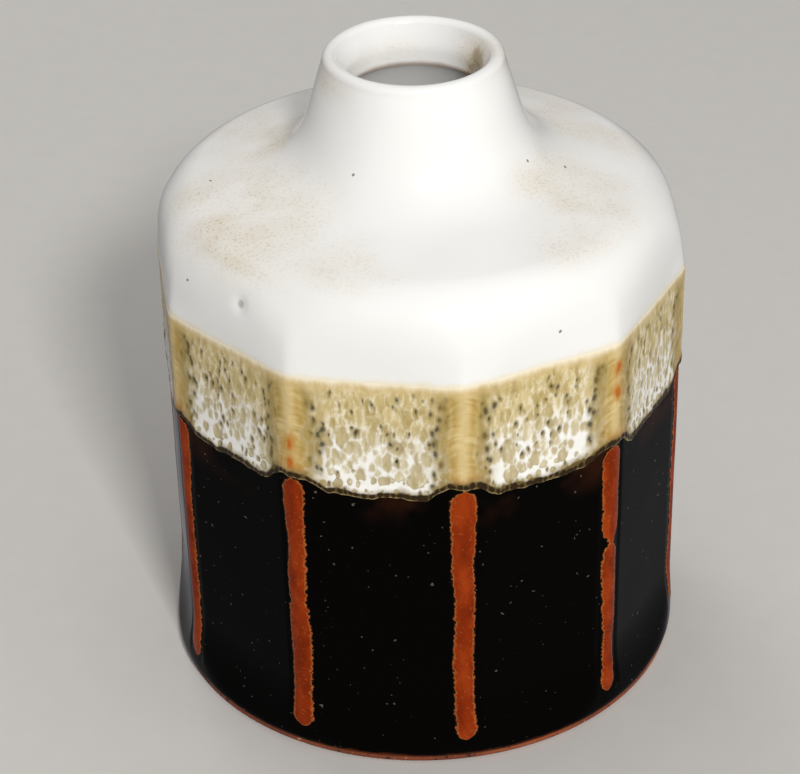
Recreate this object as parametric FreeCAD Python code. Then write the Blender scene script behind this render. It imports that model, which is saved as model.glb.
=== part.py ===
import FreeCAD, Part
import math
import os

# Faceted stoneware bud vase, in millimetres.  +Z is up, and the origin is the middle of the base.
# One fired clay body carries the glazes: black on the ten flat sides, iron red on the ridges
# between them, a frothy band, white on the shoulder and neck, and a white lining inside.
# The sizes of the pot are those of the bare clay, and each coat of glaze adds its own thickness.

# --- driving sizes --------------------------------------------------------------------------
HEIGHT = 98.2              # to the top of the bare lip
BODY_RADIUS = 39.7         # over the ridges between the flat sides
SIDES = 10                 # flat sides
FIRST_RIDGE = -27.5        # degrees round from the front, towards +X

FOOT_PROUD = 0.1           # the foot is round and stands out past the ridges
FOOT_BEVEL = 0.7
FOOT_RING = 6.8            # width of the ring that the pot stands on
RECESS_DEPTH = 1.2         # hollow under the base, inside the ring
FACET_FOOT = 1.6           # the flat sides run out at this height
FACET_FADE = 11.0          # and take this height to do it

SHOULDER_PROUD = 0.5       # the shoulder is round too, and a little wider
SHOULDER_DROP = 34.7       # from the top down to where the wall begins to turn in
TURN_RISE = 15.4           # height of the turn
TURN_WIDTH = 7.2           # from the ridges in to where it meets the shallow slope
TURN_EASE = 0.45           # how far up the turn its upright start pulls
TURN_REACH = 5.0           # how far out the slope's own line pulls it
SLOPE_ANGLE = 13.0         # degrees above level

THROAT_RADIUS = 9.9        # narrowest bore, over its glaze
THROAT_LENGTH = 2.0
THROAT_DROP = 6.2          # from the top down to the lower edge of that bore
FUNNEL = 1.1               # the mouth is wider than the bore all round
LIP_HALF = 0.6             # half the thickness of the bare lip
NECK_FLARE = 3.7           # from the lip out to where the neck springs from the slope
NECK_DROP = 10.7           # from the top down to where the neck leans in
NECK_SWEEP = 9.2           # from the neck out to where the slope bends up into it

WALL = 4.7                 # clay at a ridge; it is thinner behind a flat side
FLOOR = 5.6                # height of the cavity's floor
FLOOR_ROUND = 9.0
ROOF = 4.2                 # clay above the cavity, under the slope
NECK_WALL = 1.4            # the throat's curve springs this far inside the neck's

BLACK_COAT = 0.3
RIDGE_COAT = 0.2           # the glaze runs thin over a ridge
FROTH_COAT = 0.6           # measured from the clay, so it includes the glaze under it
WHITE_COAT = 0.5
COAT_FOOT = 1.1            # bare clay shows below this height
RIDGE_FOOT = 4.2           # lower end of the iron-red lines
RIDGE_WIDTH = 3.6
BAND_HEIGHT = 18.4
BAND_DROP = 32.0           # from the top down to the band's upper edge

# --- sizes worked out from them -------------------------------------------------------------
STEP = 360.0 / SIDES
APOTHEM = BODY_RADIUS * math.cos(math.radians(STEP / 2))
FOOT_RADIUS = BODY_RADIUS + FOOT_PROUD
SHOULDER_RADIUS = BODY_RADIUS + SHOULDER_PROUD
SHOULDER_Z = HEIGHT - SHOULDER_DROP
TURN_TOP = SHOULDER_Z + TURN_RISE
SLOPE_START = BODY_RADIUS - TURN_WIDTH
SLOPE_LIFT = math.tan(math.radians(SLOPE_ANGLE))
SLOPE_NORMAL = 90.0 - SLOPE_ANGLE
LIP_RADIUS = THROAT_RADIUS + FUNNEL + WHITE_COAT + LIP_HALF
LIP_Z = HEIGHT - LIP_HALF
NECK_RADIUS = LIP_RADIUS + NECK_FLARE
NECK_Z = HEIGHT - NECK_DROP
SLOPE_END = NECK_RADIUS + NECK_SWEEP
THROAT_Z = HEIGHT - THROAT_DROP
RECESS_RADIUS = FOOT_RADIUS - FOOT_RING
BAND_TOP = HEIGHT - BAND_DROP
BAND_FOOT = BAND_TOP - BAND_HEIGHT
OUTSIDE = 2 * SHOULDER_RADIUS
ABOVE = HEIGHT + OUTSIDE


def place(radius, z, coat=0.0, facing=0.0):
    """A point of an outline, moved by a coat of glaze the way the surface faces there."""
    turn = math.radians(facing)
    return FreeCAD.Vector(radius + coat * math.cos(turn), 0, z + coat * math.sin(turn))


def line(start, end):
    return Part.LineSegment(start, end).toShape()


def curve(*poles):
    bezier = Part.BezierCurve()
    bezier.setPoles(list(poles))
    return bezier.toShape()


def arc(start, middle, end):
    return Part.Arc(start, middle, end).toShape()


def turned(edges):
    """The solid that a closed outline sweeps round the axis."""
    face = Part.Face(Part.Wire(edges))
    return face.revolve(FreeCAD.Vector(0, 0, 0), FreeCAD.Vector(0, 0, 1), 360)


def along_slope(radius):
    """Height of the clay's shallow slope, produced past both of its ends."""
    return TURN_TOP + (SLOPE_START - radius) * SLOPE_LIFT


def round_pot(coat):
    """The pot before its sides are cut flat, solid inside up to the middle of the lip."""
    axis_foot = place(0, 0)
    foot = place(FOOT_RADIUS - FOOT_BEVEL, 0)
    foot_top = place(FOOT_RADIUS, FOOT_BEVEL, coat)
    shoulder = place(SHOULDER_RADIUS, SHOULDER_Z, coat)
    turn_low = place(SHOULDER_RADIUS, SHOULDER_Z + TURN_EASE * TURN_RISE, coat)
    pull = SLOPE_START + TURN_REACH
    turn_high = place(pull, along_slope(pull), coat, SLOPE_NORMAL)
    slope_start = place(SLOPE_START, along_slope(SLOPE_START), coat, SLOPE_NORMAL)
    slope_end = place(SLOPE_END, along_slope(SLOPE_END), coat, SLOPE_NORMAL)
    neck_root = place(NECK_RADIUS, along_slope(NECK_RADIUS), coat, SLOPE_NORMAL / 2)
    neck = place(NECK_RADIUS, NECK_Z, coat)
    lip_outside = place(LIP_RADIUS + LIP_HALF, LIP_Z, coat)
    lip_top = place(LIP_RADIUS, LIP_Z + LIP_HALF, coat, 90)
    lip_inside = place(LIP_RADIUS - LIP_HALF, LIP_Z, coat, 180)
    axis_top = place(0, LIP_Z)
    return turned([
        line(axis_foot, foot), line(foot, foot_top), line(foot_top, shoulder),
        curve(shoulder, turn_low, turn_high, slope_start), line(slope_start, slope_end),
        curve(slope_end, neck_root, neck, lip_outside), arc(lip_outside, lip_top, lip_inside),
        line(lip_inside, axis_top), line(axis_top, axis_foot)])


def flat_side_cutter(coat):
    """What is cut away to leave the flat side that faces the front, and its run-out at the foot."""
    reach = FOOT_RADIUS + coat
    fade_top = FACET_FOOT + FACET_FADE
    run_out = FOOT_RADIUS - APOTHEM
    flat_low = place(APOTHEM, fade_top, coat)
    flat_high = place(APOTHEM, ABOVE, coat)
    fade_middle = place(APOTHEM + run_out / 4, FACET_FOOT + FACET_FADE / 2, coat)
    foot = place(reach, FACET_FOOT)
    foot_out = place(OUTSIDE, FACET_FOOT)
    high_out = place(OUTSIDE, ABOVE)
    face = Part.Face(Part.Wire([
        line(flat_high, flat_low), arc(flat_low, fade_middle, foot), line(foot, foot_out),
        line(foot_out, high_out), line(high_out, flat_high)]))
    face.translate(FreeCAD.Vector(0, -OUTSIDE, 0))
    cutter = face.extrude(FreeCAD.Vector(0, 2 * OUTSIDE, 0))
    cutter.rotate(FreeCAD.Vector(0, 0, 0), FreeCAD.Vector(0, 0, 1), -90)
    return cutter


def turned_copy(shape, degrees):
    """A copy turned round the axis, from the front towards +X."""
    copy = shape.copy()
    copy.rotate(FreeCAD.Vector(0, 0, 0), FreeCAD.Vector(0, 0, 1), degrees)
    return copy


def faceted_pot(coat):
    pot = round_pot(coat)
    cutter = flat_side_cutter(coat)
    for side in range(SIDES):
        pot = pot.cut(turned_copy(cutter, FIRST_RIDGE + (side + 0.5) * STEP))
    return pot


def cavity(coat):
    """The hollow inside, up to the middle of the lip, made smaller by a coat of glaze."""
    radius = BODY_RADIUS - WALL
    middle = math.sin(math.radians(45)) * FLOOR_ROUND
    arc_radius = radius - FLOOR_ROUND
    arc_z = FLOOR + FLOOR_ROUND
    axis_floor = place(0, FLOOR, coat, 90)
    floor_end = place(arc_radius, FLOOR, coat, 90)
    floor_middle = place(arc_radius + middle, arc_z - middle, coat, 135)
    wall_foot = place(radius, arc_z, coat, 180)
    wall_top = place(radius, SHOULDER_Z, coat, 180)
    turn_low = place(radius, SHOULDER_Z + TURN_EASE * TURN_RISE, coat, 180)
    start = SLOPE_START - ROOF
    end = SLOPE_END - ROOF / 2
    pull = start + TURN_REACH - ROOF / 2
    turn_high = place(pull, along_slope(pull) - ROOF, coat, 180 + SLOPE_NORMAL)
    slope_start = place(start, along_slope(start) - ROOF, coat, 180 + SLOPE_NORMAL)
    slope_end = place(end, along_slope(end) - ROOF, coat, 180 + SLOPE_NORMAL)
    neck_root = place(NECK_RADIUS, along_slope(NECK_RADIUS) - ROOF, coat, 225)
    neck = place(NECK_RADIUS - NECK_WALL, NECK_Z, coat, 225)
    bore = THROAT_RADIUS + WHITE_COAT
    throat_low = place(bore, THROAT_Z, coat, 180)
    throat_high = place(bore, THROAT_Z + THROAT_LENGTH, coat, 180)
    mouth = place(LIP_RADIUS - LIP_HALF, LIP_Z, coat, 180)
    third = (mouth.z - throat_high.z) / 3
    funnel_low = FreeCAD.Vector(throat_high.x, 0, throat_high.z + third)
    funnel_high = FreeCAD.Vector(mouth.x, 0, mouth.z - third)
    axis_top = place(0, LIP_Z)
    return turned([
        line(axis_floor, floor_end), arc(floor_end, floor_middle, wall_foot), line(wall_foot, wall_top),
        curve(wall_top, turn_low, turn_high, slope_start), line(slope_start, slope_end),
        curve(slope_end, neck_root, neck, throat_low), line(throat_low, throat_high),
        curve(throat_high, funnel_low, funnel_high, mouth), line(mouth, axis_top),
        line(axis_top, axis_floor)])


def foot_recess():
    """The hollow under the base, with a sloping edge."""
    rim = place(RECESS_RADIUS, 0)
    top = place(RECESS_RADIUS - RECESS_DEPTH, RECESS_DEPTH)
    axis_top = place(0, RECESS_DEPTH)
    axis = place(0, 0)
    return turned([line(axis, rim), line(rim, top), line(top, axis_top), line(axis_top, axis)])


def between(shape, low, high):
    """The stretch of a shape between two heights."""
    slab = Part.makeCylinder(OUTSIDE, high - low, FreeCAD.Vector(0, 0, low))
    return shape.common(slab)


def ridge_slot():
    """The strip of wall that an iron-red line covers on the ridge at the front, round at its foot."""
    half = RIDGE_WIDTH / 2
    low = RIDGE_FOOT + half
    strip = Part.makeBox(RIDGE_WIDTH, OUTSIDE, BAND_TOP - low, FreeCAD.Vector(-half, -OUTSIDE, low))
    end = Part.makeCylinder(half, OUTSIDE, FreeCAD.Vector(0, 0, low), FreeCAD.Vector(0, -1, 0))
    return strip.fuse(end).removeSplitter()


def save(name, shape):
    solids = shape.Solids
    if len(solids) != 1 or not shape.isValid():
        raise ValueError(name + " came out as " + str(len(solids)) + " solids")
    solids[0].exportStep("parts/" + name + ".step")
    print(name, round(solids[0].Volume, 1), "mm3")


os.makedirs("parts", exist_ok=True)

clay_outside = faceted_pot(0.0)
black_outside = faceted_pot(BLACK_COAT)
white_outside = faceted_pot(WHITE_COAT)
save("clay_body", clay_outside.cut(cavity(0.0)).cut(foot_recess()))

first_slot = turned_copy(ridge_slot(), FIRST_RIDGE)
ridge_skin = faceted_pot(RIDGE_COAT).cut(clay_outside)
first_ridge = ridge_skin.common(first_slot)
black_coat = between(black_outside.cut(clay_outside), COAT_FOOT, BAND_TOP)
under_band = clay_outside
for number in range(SIDES):
    ridge = turned_copy(first_ridge, number * STEP)
    black_coat = black_coat.cut(turned_copy(first_slot, number * STEP))
    under_band = under_band.fuse(ridge)
    save("ridge_%02d" % (number + 1), ridge)
save("black_glaze", black_coat)

under_band = under_band.fuse(black_coat)
froth_band = between(faceted_pot(FROTH_COAT).cut(under_band), BAND_FOOT, BAND_TOP)
save("froth_band", froth_band)
save("white_glaze", between(white_outside.cut(clay_outside), BAND_TOP, ABOVE))
save("lining_glaze", cavity(0.0).cut(cavity(WHITE_COAT)))
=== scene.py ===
import math

import bmesh
import bpy
import numpy as np
from mathutils import Matrix, Vector, noise


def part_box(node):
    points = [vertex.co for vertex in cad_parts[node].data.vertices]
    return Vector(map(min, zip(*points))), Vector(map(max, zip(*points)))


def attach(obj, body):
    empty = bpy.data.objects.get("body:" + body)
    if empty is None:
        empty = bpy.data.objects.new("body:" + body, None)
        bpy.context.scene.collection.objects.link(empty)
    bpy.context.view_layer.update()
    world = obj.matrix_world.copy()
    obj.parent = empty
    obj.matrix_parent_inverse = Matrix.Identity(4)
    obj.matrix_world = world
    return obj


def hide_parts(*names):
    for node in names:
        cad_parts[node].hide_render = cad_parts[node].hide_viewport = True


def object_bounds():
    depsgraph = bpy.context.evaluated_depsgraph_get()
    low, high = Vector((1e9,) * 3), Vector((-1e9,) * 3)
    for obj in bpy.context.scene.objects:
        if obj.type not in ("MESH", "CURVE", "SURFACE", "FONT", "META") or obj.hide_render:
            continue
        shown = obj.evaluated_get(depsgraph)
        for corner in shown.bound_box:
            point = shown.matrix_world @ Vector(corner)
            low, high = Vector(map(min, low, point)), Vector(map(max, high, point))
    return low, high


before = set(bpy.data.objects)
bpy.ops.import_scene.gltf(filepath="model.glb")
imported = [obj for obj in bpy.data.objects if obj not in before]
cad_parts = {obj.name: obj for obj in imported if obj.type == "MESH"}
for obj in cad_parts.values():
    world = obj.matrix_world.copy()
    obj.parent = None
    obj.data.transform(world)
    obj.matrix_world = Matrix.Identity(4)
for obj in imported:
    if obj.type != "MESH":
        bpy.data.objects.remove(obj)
cad_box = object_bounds()

# ------------------------------------------------------------
# Clay body.  Iron-rich stoneware, thrown on a wheel, cut to ten flat sides while leather hard and
# trimmed underneath.  It carries every coat of glaze, so its outline is the others' outline too.
# ------------------------------------------------------------

MM = 0.001
HEIGHT = cad_box[1].z / MM - 0.5          # of the bare clay, as all the sizes here in millimetres
BODY_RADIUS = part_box("clay_body")[1].x / MM - 0.1
FOOT_RADIUS = BODY_RADIUS + 0.1
SHOULDER_RADIUS = BODY_RADIUS + 0.5
SHOULDER_Z = HEIGHT - 34.7
TURN_TOP = SHOULDER_Z + 15.4
TURN_EASE = 6.9
TURN_REACH = 5.0
SLOPE_START = BODY_RADIUS - 7.2
SLOPE = 13.0                              # of the shoulder under the neck, in degrees
SLOPE_LIFT = math.tan(math.radians(SLOPE))
SLOPE_FACING = 90 - SLOPE
NECK_FACING = 38
THROAT_FACING = 225
LIP_RADIUS = 12.1
LIP_HALF = 0.6
LIP_END = 160                             # where the rounded lip turns into the funnel, as it faces
LIP_Z = HEIGHT - LIP_HALF
NECK_RADIUS = 15.8
NECK_Z = HEIGHT - 10.7
SLOPE_END = 25.0
BORE_RADIUS = 10.4
BORE_LOW = HEIGHT - 6.2
BORE_HIGH = HEIGHT - 4.2
CAVITY_RADIUS = BODY_RADIUS - 4.7
FLOOR = 5.6
FLOOR_ROUND = 9.0
ROOF = 4.2
NECK_WALL = 1.4
RECESS_RADIUS = 33.0
RECESS_DEPTH = 1.2
FOOT_BEVEL = 0.7

SIDES = 10
STEP = 2 * math.pi / SIDES
FIRST_RIDGE = math.radians(-27.5)         # from the front, towards +X
APOTHEM = BODY_RADIUS * math.cos(STEP / 2)
FADE_TOP = 12.6                           # the flat sides run out below this
FADE = 11.0
RIDGE_SOFT = 0.5                          # how far a ridge is rounded
SHOULDER_SOFT = 1.6                       # how much further the top of a flat side is
SOFTENS = (62, 70)                        # the heights between which that comes in
HAND_WAVES = ((0.16, 34.0, 5.0), (0.05, 9.0, 11.0))    # depth, length and shift of each
RING_PITCH = 2.3                          # of the trimming tool's marks under the base
RING_DEPTH = 0.06


def linear(colour):
    """A linear colour from an sRGB hex value."""
    parts = [int(colour[k:k + 2], 16) / 255 for k in (0, 2, 4)]
    return tuple(c / 12.92 if c <= 0.04045 else ((c + 0.055) / 1.055) ** 2.4 for c in parts) + (1.0,)


def add(material, kind, sockets, out=0, **settings):
    """Adds a node and gives one of its outputs.  A socket, by its name or number, takes a value, a
    hex colour, or another node's output to link.  The stops of a ramp are places and hex colours."""
    made = material.node_tree.nodes.new("ShaderNode" + kind)
    stops = settings.pop("stops", ())
    for name, value in settings.items():
        setattr(made, name, value)
    while len(stops) > len(made.color_ramp.elements if stops else ()):
        made.color_ramp.elements.new(0.5)
    for element, (where, colour) in zip(made.color_ramp.elements if stops else (), stops):
        element.position, element.color = where, linear(colour)
    for key, value in sockets.items():
        if isinstance(value, bpy.types.NodeSocket):
            material.node_tree.links.new(value, made.inputs[key])
        else:
            made.inputs[key].default_value = linear(value) if isinstance(value, str) else value
    return made.outputs[out] if len(made.outputs) else made


def new_finish(name, sockets):
    """A material with its shader, whose other sockets are linked later."""
    material = bpy.data.materials.new(name)
    material.use_nodes = True
    material.node_tree.nodes.clear()
    surface = add(material, "BsdfPrincipled", sockets)
    add(material, "OutputMaterial", {"Surface": surface})
    return material, surface.node


def link(material, output, shader, socket):
    """Links an output to a socket of the shader."""
    material.node_tree.links.new(output, shader.inputs[socket])


EASED = {"interpolation_type": "SMOOTHSTEP"}      # for a range that starts and ends gently


def laid(material, under, *layers):
    """Colours laid one on another.  Each comes in as a number goes from one value to another, gently,
    as far as a depth."""
    for number, start, full, depth, colour in layers:
        amount = add(material, "MapRange", {0: number, 1: start, 2: full, 4: depth}, **EASED)
        under = add(material, "Mix", {0: amount, 6: under, 7: colour}, 2, data_type="RGBA")
    return under


def per_mm(size):
    """The scale of a noise on Object coordinates, for blobs of about that size in millimetres."""
    return 0.6 / (size * MM)


def place(radius, z, coat=0.0, facing=0.0):
    """A point of an outline, moved by a coat of glaze the way the surface faces there, in degrees."""
    turn = math.radians(facing)
    return np.array((radius + coat * math.cos(turn), z + coat * math.sin(turn)))


def straight(start, end, pitch):
    """Points of a straight run, about a pitch apart, without its last."""
    count = max(1, round(float(np.linalg.norm(end - start)) / pitch))
    return [start + (end - start) * k / count for k in range(count)]


def curve(poles, count):
    """Points of a cubic Bezier, without its last."""
    made = []
    for k in range(count):
        t = k / count
        weights = ((1 - t) ** 3, 3 * t * (1 - t) ** 2, 3 * t * t * (1 - t), t ** 3)
        made.append(sum(w * p for w, p in zip(weights, poles)))
    return made


def rounded(centre, radius, start, end, count):
    """Points of an arc from one facing to another, without its last."""
    turns = [start + (end - start) * k / count for k in range(count)]
    return [place(*centre, radius, turn) for turn in turns]


def along_slope(radius):
    """Height of the clay's slope under the neck at a radius."""
    return TURN_TOP + (SLOPE_START - radius) * SLOPE_LIFT


def outside_line(coat, low, pitch):
    """The outline over a coat of glaze, from a height on the wall up to the inside of the lip."""
    foot = place(FOOT_RADIUS, FOOT_BEVEL, coat)
    shoulder = place(SHOULDER_RADIUS, SHOULDER_Z, coat)
    start = foot + (shoulder - foot) * max(0.0, (low - foot[1]) / (shoulder[1] - foot[1]))
    pull = SLOPE_START + TURN_REACH
    slope_start = place(SLOPE_START, along_slope(SLOPE_START), coat, SLOPE_FACING)
    slope_end = place(SLOPE_END, along_slope(SLOPE_END), coat, SLOPE_FACING)
    turn = [shoulder, place(SHOULDER_RADIUS, SHOULDER_Z + TURN_EASE, coat),
            place(pull, along_slope(pull), coat, SLOPE_FACING), slope_start]
    neck = [slope_end, place(NECK_RADIUS, along_slope(NECK_RADIUS), coat, NECK_FACING),
            place(NECK_RADIUS, NECK_Z, coat), place(LIP_RADIUS + LIP_HALF, LIP_Z, coat)]
    line, arc = straight(start, shoulder, pitch), curve(turn, round(21 / pitch))
    if low > SHOULDER_Z:
        radii, heights = np.transpose(arc)
        line = [np.array((np.interp(low, heights, radii), low))]
        arc = [p for p in arc if p[1] > low + 0.1]
    line += arc
    line += straight(slope_start, slope_end, pitch) + curve(neck, round(24 / pitch))
    line += rounded((LIP_RADIUS, LIP_Z), LIP_HALF + coat, 0, LIP_END, 16)
    return line + [place(LIP_RADIUS, LIP_Z, LIP_HALF + coat, LIP_END)]


def inside_line(coat, pitch=1.0):
    """The outline of the hollow, from the mouth down to the middle of its floor."""
    mouth = place(LIP_RADIUS, LIP_Z, LIP_HALF + coat, LIP_END)
    bore_high = place(BORE_RADIUS, BORE_HIGH, coat, 180)
    bore_low = place(BORE_RADIUS, BORE_LOW, coat, 180)
    third = (LIP_Z - BORE_HIGH) / 3
    funnel = [mouth, place(*mouth, third, LIP_END + 90), bore_high + (0, third), bore_high]
    start, end = SLOPE_START - ROOF, SLOPE_END - ROOF / 2
    pull = start + TURN_REACH - ROOF / 2
    slope_end = place(end, along_slope(end) - ROOF, coat, 180 + SLOPE_FACING)
    slope_start = place(start, along_slope(start) - ROOF, coat, 180 + SLOPE_FACING)
    wall_top = place(CAVITY_RADIUS, SHOULDER_Z, coat, 180)
    neck = [bore_low, place(NECK_RADIUS - NECK_WALL, NECK_Z, coat, THROAT_FACING),
            place(NECK_RADIUS, along_slope(NECK_RADIUS) - ROOF, coat, THROAT_FACING), slope_end]
    turn = [slope_start, place(pull, along_slope(pull) - ROOF, coat, 180 + SLOPE_FACING),
            place(CAVITY_RADIUS, SHOULDER_Z + TURN_EASE, coat, 180), wall_top]
    centre = (CAVITY_RADIUS - FLOOR_ROUND, FLOOR + FLOOR_ROUND)
    line = curve(funnel, 10) + straight(bore_high, bore_low, 0.5) + curve(neck, 30)
    line += straight(slope_end, slope_start, pitch) + curve(turn, 16)
    line += straight(wall_top, place(CAVITY_RADIUS, FLOOR + FLOOR_ROUND, coat, 180), 2.5 * pitch)
    line += rounded(centre, FLOOR_ROUND - coat, 0, -90, 14)
    return line + straight(place(centre[0], FLOOR, coat, 90), place(0, FLOOR, coat, 90), 2 * pitch) + [
        place(0, FLOOR, coat, 90)]


def soft_min(first, second, soft):
    """The lesser of two lengths, rounded over where they are nearly equal."""
    near = np.clip(1 - np.abs(first - second) / soft, 0, 1)
    return np.minimum(first, second) - near * near * soft / 4


def cut_flat(angle, z, radius, coat):
    """A radius of the round pot, cut back to the flat sides under a coat."""
    off = np.abs((angle - FIRST_RIDGE) % STEP - STEP / 2)
    fade = np.maximum((FADE_TOP - z) / FADE, 0) ** 2
    flat = APOTHEM + (FOOT_RADIUS - APOTHEM) * fade
    sides = soft_min(flat / np.cos(off), flat / np.cos(STEP - off), RIDGE_SOFT) + coat
    edge_soft = RIDGE_SOFT + SHOULDER_SOFT * smooth(z, *SOFTENS)
    return soft_min(radius, sides, edge_soft)


def smooth(value, low, high):
    """From 0 to 1, gently, as a value goes from low to high."""
    t = np.clip((value - low) / (high - low), 0, 1)
    return t * t * (3 - 2 * t)


def bumps(points, size, shift=0.0):
    """Noise from -1 to 1 at each point, with waves of about that size."""
    move = Vector((shift, 2 * shift, 3 * shift))
    return np.array([noise.noise(Vector(p) / size + move) for p in points])


def hand_made(points):
    """How far the pot is out of true: slow waves from the hand, and shallow short ones."""
    return sum(depth * bumps(points, size, shift) for depth, size, shift in HAND_WAVES)


def inside_sway(points):
    """The inside follows the outside at the lip, and is true from the bore down."""
    return hand_made(points) * smooth(points[:, 2], BORE_HIGH, LIP_Z)


def spun(name, line, columns, layers=None, closed=True):
    """A mesh from an outline turned round the axis.  Layers are numbers carried by each point."""
    bm = bmesh.new()
    kept = [(bm.verts.layers.float.new(key), values) for key, values in (layers or {}).items()]
    made = [bm.verts.new((0, -p[0], p[1])) for p in line]
    for layer, values in kept:
        for vert, value in zip(made, values):
            vert[layer] = value
    ends = made[1:] + made[:1] if closed else made[1:]
    edges = [bm.edges.new(pair) for pair in zip(made, ends)]
    bmesh.ops.spin(bm, geom=made + edges, cent=(0, 0, 0), axis=(0, 0, 1), angle=STEP,
                   steps=columns // SIDES)
    one_side = bm.verts[:] + bm.edges[:] + bm.faces[:]
    for k in range(1, SIDES):
        copied = bmesh.ops.duplicate(bm, geom=one_side)["geom"]
        bmesh.ops.rotate(bm, verts=[v for v in copied if isinstance(v, bmesh.types.BMVert)],
                         cent=(0, 0, 0), matrix=Matrix.Rotation(k * STEP, 3, "Z"))
    bmesh.ops.remove_doubles(bm, verts=bm.verts, dist=1e-4)
    bmesh.ops.recalc_face_normals(bm, faces=bm.faces)
    mesh = bpy.data.meshes.new(name)
    bm.to_mesh(mesh)
    bm.free()
    return mesh


def read(mesh, key):
    """The numbers that a mesh's points carry under a name."""
    values = np.empty(len(mesh.vertices))
    mesh.attributes[key].data.foreach_get("value", values)
    return values


def points_of(mesh):
    """A mesh's points in millimetres, their angles from the front and their radii."""
    flat = np.empty(3 * len(mesh.vertices))
    mesh.vertices.foreach_get("co", flat)
    points = flat.reshape(-1, 3)
    return points, np.arctan2(points[:, 0], -points[:, 1]), np.hypot(points[:, 0], points[:, 1])


def at(angle, radius, z):
    """Points from an angle, a radius and a height."""
    return np.stack([radius * np.sin(angle), -radius * np.cos(angle), z], 1)


def finished(mesh, points, material, slot, *nodes):
    """Puts points in millimetres into a mesh, and makes it the piece that stands for CAD nodes."""
    mesh.vertices.foreach_set("co", (points * MM).ravel())
    mesh.materials.append(material)
    mesh.shade_smooth()
    mesh.set_sharp_from_angle(angle=math.radians(50))
    mesh.update()
    piece = bpy.data.objects.new(mesh.name, mesh)
    bpy.context.scene.collection.objects.link(piece)
    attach(piece, "root")
    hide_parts(*nodes)


def fired_stoneware():
    """Bare stoneware, wiped clean and fired: a dry red-brown skin with dark and pale grit."""
    material, shader = new_finish("fired_stoneware", {"Roughness": 0.78})
    where = add(material, "TexCoord", {}, "Object")
    cloud = add(material, "TexNoise", {"Vector": where, "Scale": per_mm(9.0)})
    grit = add(material, "TexNoise", {"Vector": where, "Scale": per_mm(0.7), "Detail": 3.0})
    colour = add(material, "ValToRGB", {"Fac": cloud},
                 stops=((0.3, "6B3018"), (0.55, "8E4522"), (0.75, "A65A30")))
    colour = laid(material, colour, (grit, 0.60, 0.68, 1.0, "3A1B10"),
                  (grit, 0.36, 0.30, 1.0, "C08558"))
    link(material, colour, shader, "Base Color")
    bump = add(material, "Bump", {"Strength": 0.5, "Distance": 0.15 * MM, "Height": grit})
    link(material, bump, shader, "Normal")
    return material


def foot_line():
    """Under the base, from the middle out to the wall: the trimmed recess and the foot ring."""
    recess = place(RECESS_RADIUS - RECESS_DEPTH, RECESS_DEPTH)
    rim = place(RECESS_RADIUS, 0.25)
    ring = place(RECESS_RADIUS + 0.5, 0)
    bevel = (FOOT_RADIUS - FOOT_BEVEL, FOOT_BEVEL)
    line = straight(place(0, RECESS_DEPTH), recess, 0.7) + straight(recess, rim, 0.4) + [rim]
    return line + straight(ring, place(bevel[0], 0), 1.0) + rounded(bevel, FOOT_BEVEL, -90, 0, 6)


under, skin, hollow = foot_line(), outside_line(0, FOOT_BEVEL, 1.3), inside_line(0, 1.6)[1:]
sides_of_clay = [0] * len(under) + [1] * len(skin) + [0] * len(hollow)
clay = spun("thrown_clay", under + skin + hollow, 360, {"outside": sides_of_clay}, closed=False)
xyz, angle, radius = points_of(clay)
outside = read(clay, "outside") > 0.5
cut = cut_flat(angle, xyz[:, 2], radius, 0.0) + hand_made(xyz)
radius = np.where(outside, cut, radius + inside_sway(xyz))
trimmed = (radius < RECESS_RADIUS - 1.5) & (xyz[:, 2] < 2)
rings = RING_DEPTH * np.sin(2 * math.pi * radius / RING_PITCH + 0.6 * angle)
rings = rings + 0.08 * bumps(xyz, 6.0, 3.0)
xyz = at(angle, radius, xyz[:, 2] + np.where(trimmed, rings, 0))
finished(clay, xyz, fired_stoneware(), "stoneware_clay", "clay_body")

# ------------------------------------------------------------
# Lining.  The inside was filled with white glaze and poured out, so a thin even coat runs from
# the floor up through the throat to the mouth, where it meets the white of the lip.
# ------------------------------------------------------------

WHITE_COAT = 0.5
BREAK_Z = BORE_LOW - 0.1    # the glaze runs thin over the sharp lower edge of the bore


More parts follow.
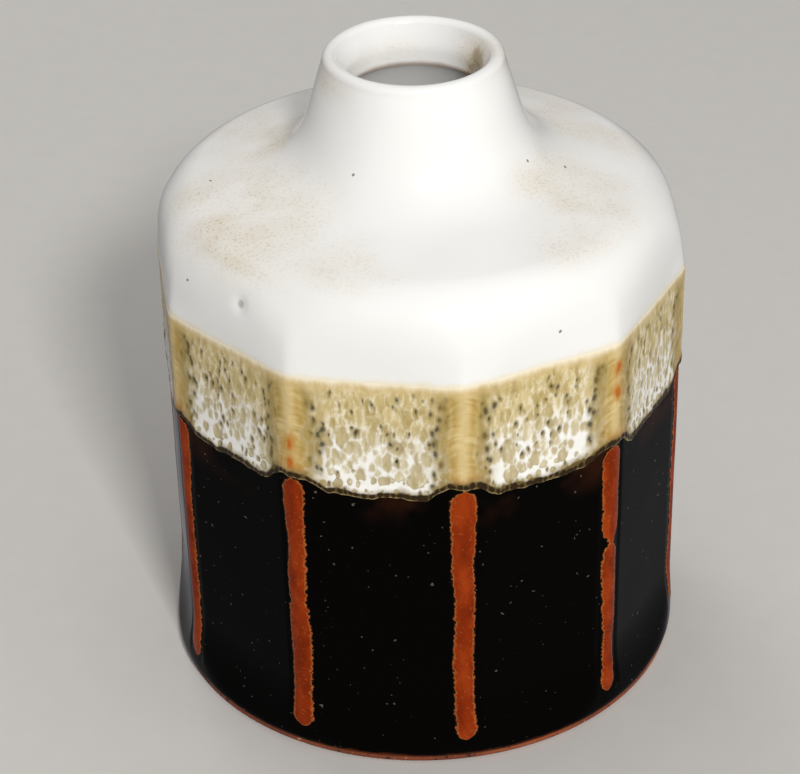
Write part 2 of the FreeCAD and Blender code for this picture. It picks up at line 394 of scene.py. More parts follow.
def white_gloss(name):
    """Glossy tin-white glaze: a slightly cloudy white, with a brown tint and fine iron specks where the
    mesh carries haze (partly painted shade, on the sides that turn from the light), and
    single dark specks where it carries a distance to one."""
    material, shader = new_finish(name, {"Roughness": 0.13, "IOR": 1.5})
    where = add(material, "TexCoord", {}, "Object")
    height = add(material, "SeparateXYZ", {"Vector": where}, "Z")
    mist = add(material, "TexNoise", {"Vector": where, "Scale": per_mm(16.0)})
    colour = add(material, "ValToRGB", {"Fac": mist}, stops=((0.3, "F1F0EB"), (0.7, "F8F7F4")))
    # The brown tint read here is partly painted shade, where the pot turns from the light, with fine
    # iron specks in it.
    haze = add(material, "Attribute", {}, "Fac", attribute_name="haze")
    speckles = add(material, "TexNoise", {"Vector": where, "Scale": per_mm(5.0), "Detail": 4.0})
    cloud = add(material, "MapRange", {0: speckles, 1: 0.32, 2: 0.68, 3: 0.35}, **EASED)
    patch = add(material, "Math", {0: haze, 1: cloud}, operation="MULTIPLY")
    level = add(material, "Math", {0: patch, 1: 0.75}, operation="MULTIPLY")
    colour = add(material, "Mix", {0: level, 6: colour, 7: "DDCFB4"}, 2, data_type="RGBA")
    drawn = add(material, "Mapping", {"Vector": where, "Scale": (1, 1, 1.6)})
    speckles = add(material, "TexNoise", {"Vector": drawn, "Scale": per_mm(0.28), "Detail": 3.0})
    grains = add(material, "MapRange", {0: speckles, 1: 0.50, 2: 0.72}, **EASED)
    level = add(material, "Math", {0: patch, 1: 0.5}, operation="MULTIPLY")
    level = add(material, "Math", {0: grains, 1: level}, operation="MULTIPLY")
    colour = add(material, "Mix", {0: level, 6: colour, 7: "A08462"}, 2, data_type="RGBA")
    speck = add(material, "Attribute", {}, "Fac", attribute_name="speck")
    speckles = add(material, "TexNoise", {"Vector": where, "Scale": per_mm(0.3)})
    level = add(material, "Math", {0: speckles, 1: 0.3}, operation="MULTIPLY")
    speck = add(material, "Math", {0: speck, 1: level}, operation="ADD")
    colour = laid(material, colour, (speck, 0.5, 0.3, 0.85, "54463A"))
    return material, shader, height, colour


def write(mesh, key, values):
    """Gives a mesh's points numbers that its material reads."""
    data = mesh.attributes.get(key) or mesh.attributes.new(key, "FLOAT", "POINT")
    data.data.foreach_set("value", values.astype(np.float32))


def mark(mesh, points, patches, specks=()):
    """Writes haze, a brown tint that is partly painted shade, and the distance to the nearest
    speck.  A patch is an angle, a height, half sizes along both, and a depth; a speck is put on the
    point nearest to its angle and height."""
    angle, z = np.degrees(np.arctan2(points[:, 0], -points[:, 1])), points[:, 2]
    haze, speck = np.zeros(len(z)), np.full(len(z), 9.0)
    for where, high, wide, tall, depth in patches:
        off = (angle - where + 180) % 360 - 180
        haze = np.maximum(haze, depth * np.exp(-(off / wide) ** 2 - ((z - high) / tall) ** 2))
    for where, high in specks:
        centre = points[np.argmin(np.abs((angle - where + 180) % 360 - 180) + 9 * np.abs(z - high))]
        speck = np.minimum(speck, np.linalg.norm(points - centre, axis=1))
    write(mesh, "haze", haze)
    write(mesh, "speck", speck)


def lining_white():
    """The same white glaze inside, with a brown tint at the mouth that is partly painted shade on its
    right side, and broken to brown at the bore's edge.
    """
    material, shader, height, colour = white_gloss("lining_white_glaze")
    where = add(material, "TexCoord", {}, "Object")
    level = add(material, "Math", {0: height, 1: BREAK_Z * MM}, operation="SUBTRACT")
    away = add(material, "Math", {0: level}, operation="ABSOLUTE")
    speckles = add(material, "TexNoise", {"Vector": where, "Scale": per_mm(2.0)})
    wander = add(material, "Math", {0: speckles, 1: 0.5 * MM}, operation="MULTIPLY")
    level = add(material, "Math", {0: away, 1: wander}, operation="ADD")
    line = add(material, "MapRange", {0: level, 1: 1.1 * MM, 2: 0.2 * MM}, **EASED)
    level = add(material, "Math", {0: line, 1: 0.6}, operation="MULTIPLY")
    colour = add(material, "Mix", {0: level, 6: colour, 7: "9C7650"}, 2, data_type="RGBA")
    # The brown tint at the mouth is partly painted shade, strongest on the right where the wall turns
    # from the light.
    haze = add(material, "Attribute", {}, "Fac", attribute_name="haze")
    speckles = add(material, "TexNoise", {"Vector": where, "Scale": per_mm(2.5), "Detail": 4.0})
    amount = add(material, "MapRange", {0: speckles, 1: 0.35, 2: 0.65, 3: 0.5, 4: 1.1}, **EASED)
    haze = add(material, "Math", {0: haze, 1: amount}, operation="MULTIPLY")
    colour = laid(material, colour, (haze, 0.6, 2.0, 0.75, "8C7648"))
    link(material, colour, shader, "Base Color")
    return material


outer_line, inner_line = inside_line(0)[::-1], inside_line(WHITE_COAT)
lining = spun("lining_coat", outer_line + inner_line, 240, closed=False)
xyz, angle, radius = points_of(lining)
# A brown tint inside the mouth, strongest on the right: partly painted shade.
mark(lining, xyz, ((112, 94.5, 20, 3.5, 2.2), (85, 92.5, 25, 2.0, 1.2), (-150, 94.0, 40, 2.0, 0.3)))
xyz = at(angle, radius + inside_sway(xyz), xyz[:, 2])
finished(lining, xyz, lining_white(), "white_glaze", "lining_glaze")

# ------------------------------------------------------------
# Black glaze.  A thick glossy black (tenmoku) over the flat sides, wiped off the foot.  It runs
# thin over every ridge, which leaves a shallow channel there for the red.
# ------------------------------------------------------------

BLACK_COAT = 0.3
COAT_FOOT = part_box("black_glaze")[0].z / MM
BAND_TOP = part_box("froth_band")[1].z / MM
EDGE_ROLL = 0.5             # width of the rounded lower edge
CHANNEL = 0.18              # how much thinner the glaze is on a ridge
CHANNEL_HALF = (1.8, 2.6)   # half widths of the channel, at its floor and at its top
CHANNEL_START = (2.5, 6)    # the heights between which it comes in
THINNEST = 0.02

clay_outline = np.array(outside_line(0, FOOT_BEVEL, 0.5)[:-20])


def from_ridge(angle):
    """Signed distance round the wall from the nearest ridge."""
    return ((angle - FIRST_RIDGE + STEP / 2) % STEP - STEP / 2) * BODY_RADIUS


def wall_point(angle, z, coat):
    """Points on the wall, over a coat of glaze."""
    radius = np.interp(z, clay_outline[:, 1], clay_outline[:, 0]) + coat
    radius = cut_flat(angle, z, radius, coat)
    return at(angle, radius + hand_made(at(angle, radius, z)), z)


def rolled(distance, width):
    """From 0 to 1 over the rounded edge of a coat."""
    t = np.clip(1 - distance / width, 0, 1)
    return np.sqrt(1 - t * t)


def black_gloss():
    """Tenmoku: near black, very glossy, with a faint brown painted reflection under the band, dust, and
    a brown edge at the foot where it runs out."""
    material, shader = new_finish("black_tenmoku_glaze",
                                  {"Roughness": 0.09, "IOR": 1.5, "Specular IOR Level": 0.04})
    where = add(material, "TexCoord", {}, "Object")
    height = add(material, "SeparateXYZ", {"Vector": where}, "Z")
    # A faint brown reflection painted into the colour just under the band.
    painted_reflection = add(material, "MapRange", {0: height, 1: 0.041, 2: 0.0465}, **EASED)
    speckles = add(material, "TexNoise", {"Vector": where, "Scale": per_mm(7.0), "Detail": 3.0})
    amount = add(material, "MapRange", {0: speckles, 1: 0.48, 2: 0.66}, **EASED)
    painted_reflection = add(material, "Math", {0: painted_reflection, 1: amount}, operation="MULTIPLY")
    level = add(material, "Math", {0: painted_reflection, 1: 0.5}, operation="MULTIPLY")
    colour = add(material, "Mix", {0: level, 6: "050403", 7: "3A1D10"}, 2, data_type="RGBA")
    speckles = add(material, "TexNoise", {"Vector": where, "Scale": per_mm(0.5), "Detail": 1.0})
    dust = add(material, "MapRange", {0: speckles, 1: 0.74, 2: 0.78}, **EASED)
    level = add(material, "Math", {0: dust, 1: 0.35}, operation="MULTIPLY")
    colour = add(material, "Mix", {0: level, 6: colour, 7: "8A8279"}, 2, data_type="RGBA")
    speckles = add(material, "TexNoise", {"Vector": where, "Scale": per_mm(1.5)})
    level = add(material, "Math", {0: speckles, 1: 0.9 * MM}, operation="MULTIPLY")
    foot = add(material, "Math", {0: height, 1: level}, operation="ADD")
    colour = laid(material, colour, (foot, 2.3 * MM, 1.6 * MM, 1.0, "5C2A14"))
    link(material, colour, shader, "Base Color")
    drawn = add(material, "Mapping", {"Vector": where, "Scale": (1, 1, 0.5)})
    speckles = add(material, "TexNoise", {"Vector": drawn, "Scale": per_mm(5.0), "Detail": 4.0})
    rough = add(material, "MapRange", {0: speckles, 1: 0.35, 2: 0.7, 3: 0.06, 4: 0.16}, **EASED)
    link(material, rough, shader, "Roughness")
    speckles = add(material, "TexNoise", {"Vector": where, "Scale": per_mm(1.6)})
    bump = add(material, "Bump", {"Strength": 0.15, "Distance": 0.05 * MM, "Height": speckles})
    link(material, bump, shader, "Normal")
    return material


outer_z = np.linspace(COAT_FOOT, BAND_TOP, 109)
inner_z = np.linspace(BAND_TOP, COAT_FOOT, 18)
line = [place(BODY_RADIUS + BLACK_COAT, z) for z in outer_z] + [place(BODY_RADIUS, z) for z in inner_z]
thickness = list(BLACK_COAT * rolled(outer_z - COAT_FOOT, EDGE_ROLL)) + [0.0] * len(inner_z)
black = spun("black_coat", line, 720, {"coat": thickness})
xyz, angle, _ = points_of(black)
channel = CHANNEL * (1 - smooth(np.abs(from_ridge(angle)), *CHANNEL_HALF))
channel = channel * smooth(xyz[:, 2], *CHANNEL_START)
coat = read(black, "coat")
xyz = wall_point(angle, xyz[:, 2], np.where(coat > 0, np.maximum(coat - channel, THINNEST), 0.0))
finished(black, xyz, black_gloss(), "black_glaze", "black_glaze")

# ------------------------------------------------------------
# Ridge lines.  The same glaze, so thin over the ten ridges that its iron breaks to rust red, in
# ragged strips with a paler tan edge.  Each lies in its channel and runs on under the band.
# ------------------------------------------------------------

RIDGE_COAT = 0.22
RIDGE_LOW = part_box("ridge_01")[0].z / MM
RIDGE_HIGH = 52.0           # out of sight under the band
BAND_LOW = 47.0             # of the band's hem, halfway along a side
HEM_RISE = 2.2              # how much higher it is at a ridge
LINE_HALF = 1.75            # half the width of a line
SLIVER = 0.3                # half the width of what runs on under the band
LOW_END, HIGH_END = 2.2, 2.6    # length of the rounded ends
STRIP_THICK = 0.12
# Where a line is thinner, by its number: the height, how far up and down, and by how much.
NOTCHES = {1: ((27.0, 0.5, 0.35), (41.0, 9.0, 0.3)),
           2: ((20.0, 12.0, 0.15),),
           3: ((32.0, 1.4, 1.0), (12.0, 9.0, 0.35))}


def hem(angle):
    """Height of the band's lower edge: it hangs lowest in the middle of a side and is scalloped."""
    here = at(angle, BODY_RADIUS, 0 * angle)
    lift = HEM_RISE * (1 - smooth(np.abs(from_ridge(angle)), 1.5, 5.5))
    return BAND_LOW + lift + 0.8 * bumps(here, 5.5, 4.0) + 0.25 * bumps(here, 1.3, 6.0)


def rust_red():
    """Iron red where the black runs thin: orange to liver red, mottled, with a tan ragged edge."""
    material, shader = new_finish("iron_red_line_glaze",
                                  {"Roughness": 0.2, "IOR": 1.5, "Specular IOR Level": 0.08})
    where = add(material, "TexCoord", {}, "Object")
    edge = add(material, "Attribute", {}, "Fac", attribute_name="edge")
    drawn = add(material, "Mapping", {"Vector": where, "Scale": (1, 1, 0.5)})
    mottle = add(material, "TexNoise", {"Vector": drawn, "Scale": per_mm(1.3), "Detail": 4.0})
    colour = add(material, "ValToRGB", {"Fac": mottle},
                 stops=((0.32, "742406"), (0.5, "882D08"), (0.68, "9A390E")))
    grain = add(material, "TexNoise", {"Vector": where, "Scale": per_mm(0.3)})
    colour = laid(material, colour, (grain, 0.60, 0.72, 0.35, "BC6E36"))
    drawn = add(material, "Mapping", {"Vector": where, "Location": (0.3, 0.3, 0.3)})
    speckles = add(material, "TexNoise", {"Vector": drawn, "Scale": per_mm(0.35), "Detail": 3.0})
    level = add(material, "Math", {0: speckles, 1: 1.1}, operation="MULTIPLY")
    ragged = add(material, "Math", {0: edge, 1: level}, operation="ADD")
    colour = laid(material, colour, (ragged, 1.05, 0.85, 0.7, "A8632E"),
                  (ragged, 0.82, 0.66, 1.0, "140A05"))
    link(material, colour, shader, "Base Color")
    return material


red = rust_red()
for number in range(SIDES):
    bm = bmesh.new()
    edge_layer = bm.verts.layers.float.new("edge")
    bmesh.ops.create_grid(bm, x_segments=14, y_segments=270, size=0.5)
    across = np.array([2 * v.co.x for v in bm.verts])
    z = RIDGE_LOW + (RIDGE_HIGH - RIDGE_LOW) * np.array([v.co.y + 0.5 for v in bm.verts])
    places = np.stack([np.sign(across) * 40 + 0 * z, 17.0 * number + 0 * z, z], 1)
    half = LINE_HALF + 0.25 * bumps(places, 8.0) + 0.14 * bumps(places, 1.7) + 0.12 * bumps(places, 0.6)
    half += 0.4 * smooth(z, 36, 46)
    for middle, reach, depth in NOTCHES.get(number + 1, ()):
        half -= depth * np.exp(-((z - middle) / reach) ** 2)
    half = np.maximum(half, 0.35) * rolled(z - RIDGE_LOW, LOW_END)
    top = hem(np.array([FIRST_RIDGE + number * STEP]))[0] - 0.25
    half = np.where(z < top, np.maximum(half * rolled(top - z, HIGH_END), SLIVER), SLIVER)
    sway = 0.25 * bumps(places * (0, 1, 1), 12.0, 2.0)
    turn = FIRST_RIDGE + number * STEP + (across * half + sway) / BODY_RADIUS
    xyz = wall_point(turn, z, RIDGE_COAT - 0.1 * np.abs(across) ** 4)
    for vert, point, gap in zip(bm.verts, xyz, (1 - np.abs(across)) * half):
        vert.co = point
        vert[edge_layer] = gap
    bmesh.ops.recalc_face_normals(bm, faces=bm.faces)
    bmesh.ops.solidify(bm, geom=bm.faces[:], thickness=STRIP_THICK)
    strip = bpy.data.meshes.new("red_line_%02d" % (number + 1))
    bm.to_mesh(strip)
    bm.free()
    finished(strip, points_of(strip)[0], red, "iron_red_glaze", "ridge_%02d" % (number + 1))

# ------------------------------------------------------------
# Froth band.  Where the white ran down over the black the two boiled together in the kiln: small
# tan cells above, blisters and white pools below, honey over the ridges, and a dark beaded hem.
# ------------------------------------------------------------

FROTH_COAT = 0.6
HALF_SIDE = BODY_RADIUS * STEP / 2
HEIGHTS = (47.5, 49.5, 51.5, 54.0, 58.0, 61.0, 65.5)
SPACING = (1.05, 1.30, 1.15, 1.05, 0.95, 0.75, 0.60)    # of the cells at those heights
LENGTHS = (1.00, 1.10, 1.50, 1.90, 2.10, 2.20, 2.20)    # how drawn out they are
RADII = (0.42, 0.54, 0.68, 0.80, 0.80, 0.90, 0.90)      # how far each would swell on its own
WALLS = (0.10, 0.08, 0.05, 0.04, 0.04, 0.03, 0.02)      # half the least white left between two
# The large blisters, by side: place along the side, height and radius.
BLISTERS = {0: ((5.9, 50.6, 1.5), (-2.4, 50.8, 0.9), (-5.6, 49.2, 0.8), (1.0, 50.2, 0.75),
                (-7.9, 48.9, 0.6), (-5.9, 53.4, 0.9), (1.7, 53.2, 0.9), (-0.6, 50.1, 0.45),
                (-3.9, 49.6, 0.5)),
            1: ((-5.2, 49.9, 1.2), (-5.5, 53.6, 1.2), (-1.2, 51.4, 1.0), (3.5, 50.4, 0.8)),
            9: ((-3.0, 50.3, 1.0), (4.4, 50.0, 0.7))}
# The pools of white with no cells, by side: place along the side, height and half sizes.
POOLS = {0: ((7.0, 52.9, 2.2, 1.0), (-5.6, 55.4, 0.9, 1.6), (-8.6, 50.3, 1.3, 1.2),
             (2.9, 49.2, 1.6, 0.8)),
         1: ((-7.4, 51.0, 1.5, 2.0), (-2.2, 49.4, 2.0, 0.8), (6.0, 52.5, 1.2, 1.2)),
         9: ((-5.0, 51.2, 1.6, 1.1), (2.0, 50.5, 2.2, 0.9))}
EMBERS = {0: (55.2, 52.0), 2: (62.0, 58.2), 8: (57.0,), 5: (53.5, 60.0)}    # orange spots on a ridge
EMBER_HALF = (0.7, 1.4)     # half an ember's width and height
PIT_DEPTH = 0.22
CLEAR_HEM = 1.15            # height over the hem with no cells
DARTS = 4000                # thrown at a side: a cell stays where it has room
MOST_CELLS = 1200
BEAD_PITCH = 1.05           # of the beads along the hem
BEAD_RISE, BEAD_HALF = 0.74, 0.50

dice = np.random.default_rng(31)


def scattered(side):
    """The cells of one side: place along it, height, radius and tone."""
    cells = np.zeros((MOST_CELLS, 4))
    count = 0
    for x, z, radius in BLISTERS.get(side, ()):
        cells[count] = x, z, radius, 0.7
        count += 1
    least, most = (-HALF_SIDE, BAND_LOW, 0.65, 0), (HALF_SIDE, BAND_TOP + 0.5, 1.5, 1)
    darts = dice.uniform(least, most, (DARTS, 4))
    spacing = np.interp(darts[:, 1], HEIGHTS, SPACING)
    length = np.interp(darts[:, 1], HEIGHTS, LENGTHS)
    swell = np.interp(darts[:, 1], HEIGHTS, RADII)
    base = hem(FIRST_RIDGE + (side + 0.5) * STEP + darts[:, 0] / BODY_RADIUS)
    for (x, z, size, tone), gap, drawn, radius, low in zip(darts, spacing, length, swell, base):
        pooled = any(math.hypot((x - px) / pw, (z - pz) / ph) < 1
                     for px, pz, pw, ph in POOLS.get(side, ()))
        if z < low + CLEAR_HEM or pooled or count == len(cells):
            continue
        apart = np.hypot(x - cells[:count, 0], (z - cells[:count, 1]) / drawn)
        if np.all(apart > gap * size + np.maximum(cells[:count, 2] - 0.95, 0)):
            cells[count] = x, z, radius * (size - 0.15), tone
            count += 1
    return cells[:count]


def pitted(cells):
    """Burst pinholes: in the crown of some cells, and in a column beside each ridge."""
    inner = [(x + dice.uniform(-0.3, 0.3), z + dice.uniform(0, 0.5), dice.uniform(0.15, 0.30))
             for x, z, r, tone in cells if tone > 0.74 and z < 65]
    column = [(side * (HALF_SIDE - 3.9 + dice.uniform(-0.8, 0.8)), z + dice.uniform(-0.9, 0.9),
               dice.uniform(0.25, 0.5)) for side in (-1, 1) for z in np.arange(50.5, 64, 1.5)]
    return np.array(inner + column)


def froth():
    """Rutile and tin-white glaze over black: each colour follows a distance that the mesh carries."""
    material, shader = new_finish("rutile_froth_glaze",
                                  {"Roughness": 0.2, "IOR": 1.5, "Specular IOR Level": 0.25})
    where = add(material, "TexCoord", {}, "Object")
    value = {key: add(material, "Attribute", {}, "Fac", attribute_name=key)
             for key in ("cell", "tone", "pit", "ridge", "edge", "drop", "bead", "flow", "ember")}
    fine = add(material, "TexNoise", {"Vector": where, "Scale": per_mm(0.28), "Detail": 3.0})
    drawn = add(material, "Mapping", {"Vector": where, "Scale": (1, 1, 0.35)})
    fibre = add(material, "TexNoise", {"Vector": drawn, "Scale": per_mm(0.5), "Detail": 4.0})
    drawn = add(material, "Mapping", {"Vector": where, "Scale": (1, 1, 0.6)})
    loose = add(material, "TexNoise", {"Vector": drawn, "Scale": per_mm(1.2), "Detail": 3.0})
    drawn = add(material, "Mapping",
                {"Vector": where, "Location": (0.6, 0.6, 0.6), "Scale": (1, 1, 0.7)})
    broad = add(material, "TexNoise", {"Vector": drawn, "Scale": per_mm(3.5)})

    def roughened(number, *noises):
        """A distance made ragged by noises, each with how much it moves."""
        for noise_out, amount in noises:
            centred = add(material, "Math", {0: noise_out, 1: 0.5}, operation="SUBTRACT")
            level = add(material, "Math", {0: centred, 1: amount}, operation="MULTIPLY")
            number = add(material, "Math", {0: number, 1: level}, operation="ADD")
        return number

    # The white net between the cells, creamier towards the top.
    net = laid(material, "F8F6EF", (roughened(value["drop"], (broad, 6.0)), 11.0, 4.5, 1.0, "E9DDBC"))

    # The cells, each with a tone of its own, browner towards the top, and streaked by the run.
    pale = add(material, "ValToRGB", {"Fac": value["tone"]},
               stops=((0.0, "D8CCAA"), (0.5, "CCBE99"), (1.0, "BBAB83")))
    high = add(material, "ValToRGB", {"Fac": value["tone"]},
               stops=((0.0, "D8C592"), (0.5, "C8B27A"), (1.0, "B19B60")))
    cells = laid(material, pale, (value["drop"], 12.0, 5.0, 1.0, high),
                 (fibre, 0.52, 0.70, 0.5, "A08D58"), (fibre, 0.48, 0.32, 0.7, "EFE7CE"))
    cell = roughened(value["cell"], (fine, 0.35), (fibre, 0.7))
    colour = laid(material, net, (cell, -0.22, 0.20, 1.0, cells))

    # A brown ring round the lower cells, tan flanks beside a ridge, and dark pits.
    level = add(material, "Math", {0: cell, 1: 0.07}, operation="SUBTRACT")
    level = add(material, "Math", {0: level}, operation="ABSOLUTE")
    ring = add(material, "MapRange", {0: level, 1: 0.11, 2: 0.01}, **EASED)
    low_down = add(material, "MapRange", {0: value["edge"], 1: 4.5, 2: 2.5, 4: 0.6}, **EASED)
    level = add(material, "Math", {0: ring, 1: low_down}, operation="MULTIPLY")
    colour = add(material, "Mix", {0: level, 6: colour, 7: "84764B"}, 2, data_type="RGBA")
    flank = roughened(value["ridge"], (loose, 3.0))
    pit = roughened(value["pit"], (fine, 0.7))
    colour = laid(material, colour, (flank, 5.8, 3.4, 0.6, "B8A26A"), (pit, 1.9, 0.9, 0.5, "7C7048"),
                  (pit, 1.0, 0.4, 0.8, "423D28"))

    # Honey over the ridges, in folds as it ran, browner at the hem, with an ember here and there.
    folds = add(material, "TexNoise", {"W": value["flow"], "Scale": 1.0, "Detail": 3.0},
                noise_dimensions="1D")
    level = add(material, "Math", {0: folds, 1: 0.8}, operation="MULTIPLY")
    honey = add(material, "ValToRGB", {"Fac": roughened(level, (loose, 1.4))},
                stops=((0.28, "B29348"), (0.50, "C7A862"), (0.72, "D9C084")))
    spot = roughened(value["ember"], (loose, 2.0), (fibre, 1.6))
    honey = laid(material, honey, (roughened(value["ridge"], (loose, 1.2)), 1.6, 0.2, 0.6, "E6D09C"),
                 (roughened(value["edge"], (loose, 2.5)), 3.4, 0.8, 0.85, "B87F30"),
                 (roughened(value["edge"], (loose, 1.5)), 1.9, 0.9, 0.9, "9C4A14"),
                 (spot, 2.2, 0.6, 0.9, "C08A3A"), (spot, 0.95, 0.3, 1.0, "BF6410"))
    level = add(material, "Math", {0: flank, 1: 2.9}, operation="SUBTRACT")
    beside = add(material, "Math", {0: level}, operation="ABSOLUTE")
    colour = laid(material, colour, (roughened(value["ridge"], (loose, 2.6)), 3.6, 0.9, 0.95, honey),
                  (beside, 1.1, 0.2, 0.5, "98803F"),
                  (roughened(value["edge"], (loose, 1.8), (broad, 2.5)), 2.3, 1.1, 0.65, "8F7C4C"))

    # The hem: a mottled lip with dark beads, and the cream that fades up into the white.
    bead = roughened(value["bead"], (loose, 1.4), (fine, 0.9))
    hem_brown = laid(material, "5A4A27", (loose, 0.42, 0.58, 1.0, "B09D6E"))
    dark = laid(material, hem_brown,
                (roughened(value["edge"], (loose, 0.3)), 0.26, 0.42, 1.0, "64532C"),
                (bead, 1.25, 0.85, 1.0, "31230F"))
    fringe = roughened(value["edge"], (broad, 1.6), (loose, 1.0))
    drop = roughened(value["drop"], (broad, 1.2), (fibre, 0.9))
    colour = laid(material, colour, (fringe, 1.4, 1.0, 1.0, dark), (drop, 2.6, 0.5, 0.8, "D8BF88"),
                  (drop, 1.1, -0.3, 1.0, "F2E7CC"))
    link(material, colour, shader, "Base Color")
    rough = add(material, "MapRange", {0: pit, 1: 1.2, 2: 0.8, 3: 0.17, 4: 0.42}, **EASED)
    link(material, rough, shader, "Roughness")
    bump = add(material, "Bump", {"Strength": 0.3, "Distance": 0.05 * MM, "Height": fine})
    link(material, bump, shader, "Normal")
    return material


rise = np.concatenate([np.linspace(0, 0.04, 8), np.linspace(0.04, 1, 75)[1:], [1.0, 0.0]])
is_outer = [1.0] * (len(rise) - 2) + [0.0, 0.0]
line = [place(BODY_RADIUS + out, BAND_LOW + 19 * up) for up, out in zip(rise, is_outer)]
band = spun("froth_coat", line, 1080, {"rise": rise, "outer": is_outer})
angle = points_of(band)[1]
outer = read(band, "outer") > 0.5
low = hem(angle)
z = low + (BAND_TOP - low) * read(band, "rise")
here = at(angle, BODY_RADIUS, z)
along = ((angle - FIRST_RIDGE) % STEP - STEP / 2) * BODY_RADIUS + 0.3 * bumps(here, 1.3, 7.0)
height = z + 0.4 * bumps(here, 1.6, 8.0)
drawn = np.interp(z, HEIGHTS, LENGTHS)
wall = np.interp(z, HEIGHTS, WALLS)
side_number = np.floor((angle - FIRST_RIDGE) / STEP).astype(int) % SIDES
cell, tone, pit = np.zeros(len(z)), np.zeros(len(z)), np.zeros(len(z))
for side in range(SIDES):
    mine = np.flatnonzero(side_number == side)
    x, up, row = along[mine], height[mine], np.arange(len(mine))
    cells = scattered(side)
    over = (up[:, None] - cells[:, 1]) / drawn[mine, None]
    beyond = np.hypot(x[:, None] - cells[:, 0], over) - cells[:, 2]
    which = np.argmin(beyond, axis=1)
    nearest = beyond[row, which]
    beyond[row, which] = 9
    between = (np.min(beyond, axis=1) - nearest) / 2 - wall[mine]
    cell[mine] = np.minimum(-nearest, between)
    tone[mine] = cells[which, 3]
    pits = pitted(cells)
    away = np.hypot(x[:, None] - pits[:, 0], (up[:, None] - pits[:, 1]) / 1.9) / pits[:, 2]
    pit[mine] = np.min(away, axis=1)
edge, drop = z - low, BAND_TOP - z
ridge = np.abs(from_ridge(angle) + 0.5 * bumps(here, 4.0, 10.0))
flow = (z + 0.16 * ridge ** 2 + 0.5 * bumps(here, 2.5, 16.0)) * 1.1 + 9.0 * side_number
beads = round(2 * math.pi * BODY_RADIUS / BEAD_PITCH)
round_hem = at(angle, BODY_RADIUS, 0 * z)
phase = (angle % (2 * math.pi)) / (2 * math.pi) * beads + bumps(round_hem, 2.2, 9.0)
size = 1 + 0.6 * bumps(round_hem, 1.7, 13.0)
bead = np.hypot((phase - np.round(phase)) * 2.35, (edge - BEAD_RISE * size) / (BEAD_HALF * size))
spots = np.full(len(z), 9.0)
for ridge_number, heights in EMBERS.items():
    for spot_z in heights:
        across = np.angle(np.exp(1j * (angle - FIRST_RIDGE - ridge_number * STEP))) * BODY_RADIUS
        spots = np.minimum(spots, np.hypot(across / EMBER_HALF[0], (z - spot_z) / EMBER_HALF[1]))
for key, values in (("cell", cell), ("tone", tone), ("pit", pit), ("ridge", ridge), ("edge", edge),
                    ("drop", drop), ("bead", bead), ("flow", flow), ("ember", spots)):
    write(band, key, values)
calm = smooth(ridge, 1.6, 3.4) * smooth(drop, 0.3, 2.5) * smooth(edge, 0.8, 1.4)
dish = (0.05 + 0.07 * tone) * smooth(cell, -0.05, 0.45) * smooth(drop, 1, 9)
holes = PIT_DEPTH * np.clip(1 - pit ** 2, 0, 1)
boil = (0.05 * bumps(here, 0.9, 12.0) + 0.05 * bumps(here, 3.0, 14.0)) * smooth(drop, 0, 2)
swell = 0.14 * np.exp(-((edge - 1.0) / 1.1) ** 2) - 0.10 * np.clip(1 - bead ** 2, 0, 1)
coat = BLACK_COAT + (FROTH_COAT - BLACK_COAT) * rolled(edge, 0.45)
coat = coat - calm * (dish + holes) + boil + swell
coat -= 0.12 * np.exp(-(ridge / 2.0) ** 2) * smooth(drop, 0, 3)
coat = np.where(drop < 0.01, WHITE_COAT, np.maximum(coat, 0.2))
coat = np.where(outer, coat, 0.05)
finished(band, wall_point(angle, z, coat), froth(), "froth_glaze", "froth_band")

# ------------------------------------------------------------
# White glaze.  A thick opaque white, dipped upside down to the shoulder: it softens the tops of
# the flat sides, wraps the lip, and has one dimple and a brown tint on the slope and neck that is
# partly painted shade where they turn from the light.
# ------------------------------------------------------------

DIMPLE = (math.radians(-40.9), 73.7, 1.2, 0.35)     # where it is, its radius and its depth
# As mark() takes them: the brown tints, partly painted shade where the pot turns from the light,
# and the single specks of iron.
HAZE_AND_SHADE = ((-62, 80.0, 26, 4.0, 1.0), (-50, 78.0, 14, 1.2, 1.0), (-20, 79.5, 16, 1.5, 0.55),
         (64, 82.0, 20, 3.0, 0.9), (48, 79.5, 14, 1.6, 0.7), (-115, 82.5, 30, 3.5, 0.9),
         (120, 81.0, 30, 3.0, 0.6), (175, 79.5, 40, 2.0, 0.6), (-85, 70.5, 10, 2.0, 0.4),
         (95, 97.5, 22, 1.5, 0.8), (-75, 96.5, 25, 2.0, 0.6))
SPECKS = ((-31.3, 86.3), (62.5, 84.7), (77, 82.0), (-84, 80.0), (-58, 73.2), (-55.5, 73.4),
          (31, 71.0), (140, 84.0), (-160, 78.5), (-128, 71.5), (168, 88.0), (104, 74.5))
SAG = 0.10                  # depth of the thick white's own slow waves


def outer_white():
    """The same white glaze outside: creamy where it meets the froth, and stained in the dimple."""
    material, shader, height, colour = white_gloss("white_tin_glaze")
    where = add(material, "TexCoord", {}, "Object")
    speckles = add(material, "TexNoise", {"Vector": where, "Scale": per_mm(1.2), "Detail": 3.0})
    level = add(material, "Math", {0: speckles, 1: 1.2 * MM}, operation="MULTIPLY")
    tint = add(material, "Math", {0: height, 1: level}, operation="ADD")
    dent = add(material, "Attribute", {}, "Fac", attribute_name="dent")
    colour = laid(material, colour,
                  (tint, (BAND_TOP + 1.6) * MM, (BAND_TOP + 0.3) * MM, 0.9, "F2E7CC"),
                  (dent, 0.6, 0.95, 0.55, "947C70"))
    link(material, colour, shader, "Base Color")
    speckles = add(material, "TexNoise", {"Vector": where, "Scale": per_mm(6.0)})
    rough = add(material, "MapRange", {0: speckles, 1: 0.3, 2: 0.7, 3: 0.10, 4: 0.18}, **EASED)
    link(material, rough, shader, "Roughness")
    return material


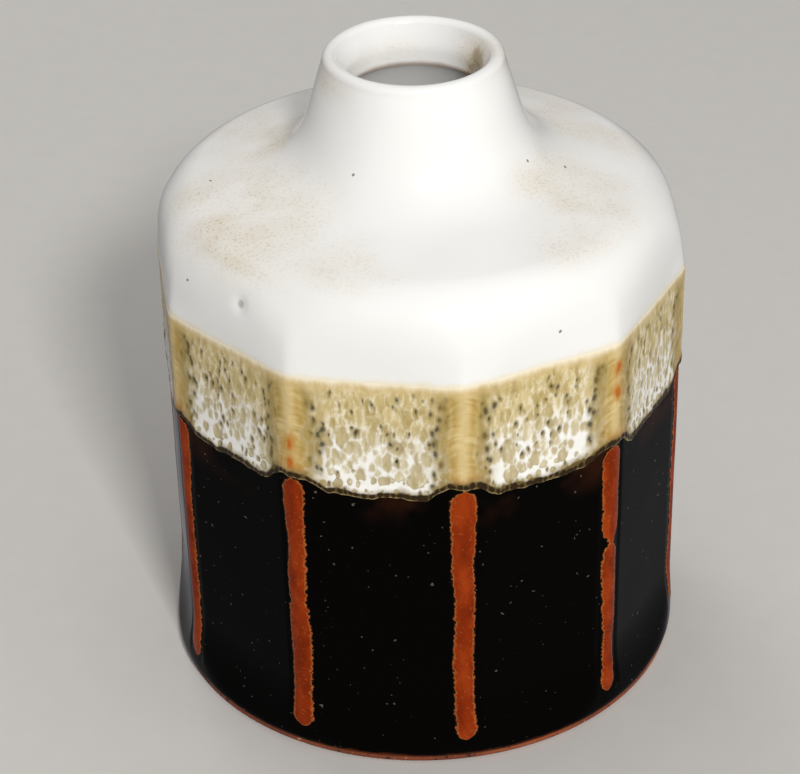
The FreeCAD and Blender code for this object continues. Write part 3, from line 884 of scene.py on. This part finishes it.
over, below = outside_line(WHITE_COAT, BAND_TOP, 0.5), outside_line(0, BAND_TOP, 2.0)[::-1]
coats = [WHITE_COAT] * len(over) + [0.0] * len(below)
white = spun("white_coat", over + below, 540, {"coat": coats})
xyz, angle, radius = points_of(white)
coat = read(white, "coat")
z = xyz[:, 2]
shell = cut_flat(angle, z, radius, coat) + hand_made(xyz)
away = np.hypot((angle - DIMPLE[0]) * BODY_RADIUS, z - DIMPLE[1]) / DIMPLE[2]
dent = np.exp(-away ** 2) * (coat > 0)
write(white, "dent", dent)
# Brown tints on the slope and neck, partly painted shade where they turn from the light, and iron
# specks.
mark(white, xyz, HAZE_AND_SHADE, SPECKS)
sag = SAG * bumps(xyz, 7.0, 15.0) * smooth(z, BAND_TOP, BAND_TOP + 3)
shell = shell - DIMPLE[3] * dent + np.where(coat > 0, sag, 0)
shell = np.where(radius > LIP_RADIUS, shell, radius + hand_made(xyz))
finished(white, at(angle, shell, z), outer_white(), "white_glaze", "white_glaze")

# ------------------------------------------------------------
# The table it stands on: a pale floor, four soft lights and the camera, none of them part of the
# vase.  The camera stands above the front and looks down at it through a long lens.
# ------------------------------------------------------------

FLOOR_COLOUR = "CBC8C2"
CAMERA_BACK, CAMERA_HEIGHT = 0.327, 0.2467
PITCH, YAW, ROLL = [math.radians(d) for d in (32.067, -0.5385, -1.3617)]
LENS, SENSOR = 111.9, 36.0


def matt_paper():
    """Seamless background paper: matt, with a very faint tooth."""
    material, shader = new_finish("matt_paper", {"Roughness": 0.95})
    where = add(material, "TexCoord", {}, "Object")
    tooth = add(material, "TexNoise", {"Vector": where, "Scale": per_mm(3.0), "Detail": 3.0})
    mixed = add(material, "Mix", {0: tooth, 6: FLOOR_COLOUR, 7: "D0CDC7"}, 2, data_type="RGBA")
    link(material, mixed, shader, "Base Color")
    return material


def soft_light(name, centre, size, power):
    """A square soft box that faces the middle of the vase."""
    lamp = bpy.data.lights.new(name, "AREA")
    lamp.shape, lamp.size, lamp.energy = "SQUARE", size, power
    box = bpy.data.objects.new(name, lamp)
    box.location = centre
    box.rotation_euler = (Vector((0, 0, 0.05)) - Vector(centre)).to_track_quat("-Z", "Y").to_euler()
    bpy.context.scene.collection.objects.link(box)


bm = bmesh.new()
bmesh.ops.create_grid(bm, x_segments=4, y_segments=4, size=2.0)
paper = bpy.data.meshes.new("paper_floor")
bm.to_mesh(paper)
bm.free()
paper.materials.append(matt_paper())
floor = bpy.data.objects.new("paper_floor", paper)
bpy.context.scene.collection.objects.link(floor)
floor.visible_glossy = False                # the room is plain in the glaze, with no table line

soft_light("key", (0.24, -0.92, 0.72), 0.16, 9.6)
for name, centre, power in (("fill", (0.9, -0.5, 0.5), 1.0), ("back", (-0.5, 0.85, 0.45), 4.0),
                            ("top", (0.0, 0.15, 1.1), 1.6)):
    soft_light(name, centre, 0.7, power)
    bpy.data.objects[name].visible_glossy = False       # they only lift the shadows

world = bpy.data.worlds.new("soft_room")
world.use_nodes = True
world.node_tree.nodes["Background"].inputs["Color"].default_value = linear("C9C9CC")
world.node_tree.nodes["Background"].inputs["Strength"].default_value = 0.38
bpy.context.scene.world = world
bpy.context.scene.view_settings.view_transform = "Standard"

level = Vector((math.sin(YAW) * math.cos(PITCH), math.cos(YAW) * math.cos(PITCH), -math.sin(PITCH)))
right = level.cross(Vector((0, 0, 1))).normalized()
up = right.cross(level)
right, up = math.cos(ROLL) * right + math.sin(ROLL) * up, math.cos(ROLL) * up - math.sin(ROLL) * right
lens = bpy.data.cameras.new("camera")
lens.lens, lens.sensor_width, lens.sensor_fit = LENS, SENSOR, "HORIZONTAL"
camera = bpy.data.objects.new("camera", lens)
camera.matrix_world = Matrix.Translation((0, -CAMERA_BACK, CAMERA_HEIGHT)) @ Matrix(
    (right, up, -level)).transposed().to_4x4()
bpy.context.scene.collection.objects.link(camera)
bpy.context.scene.camera = camera
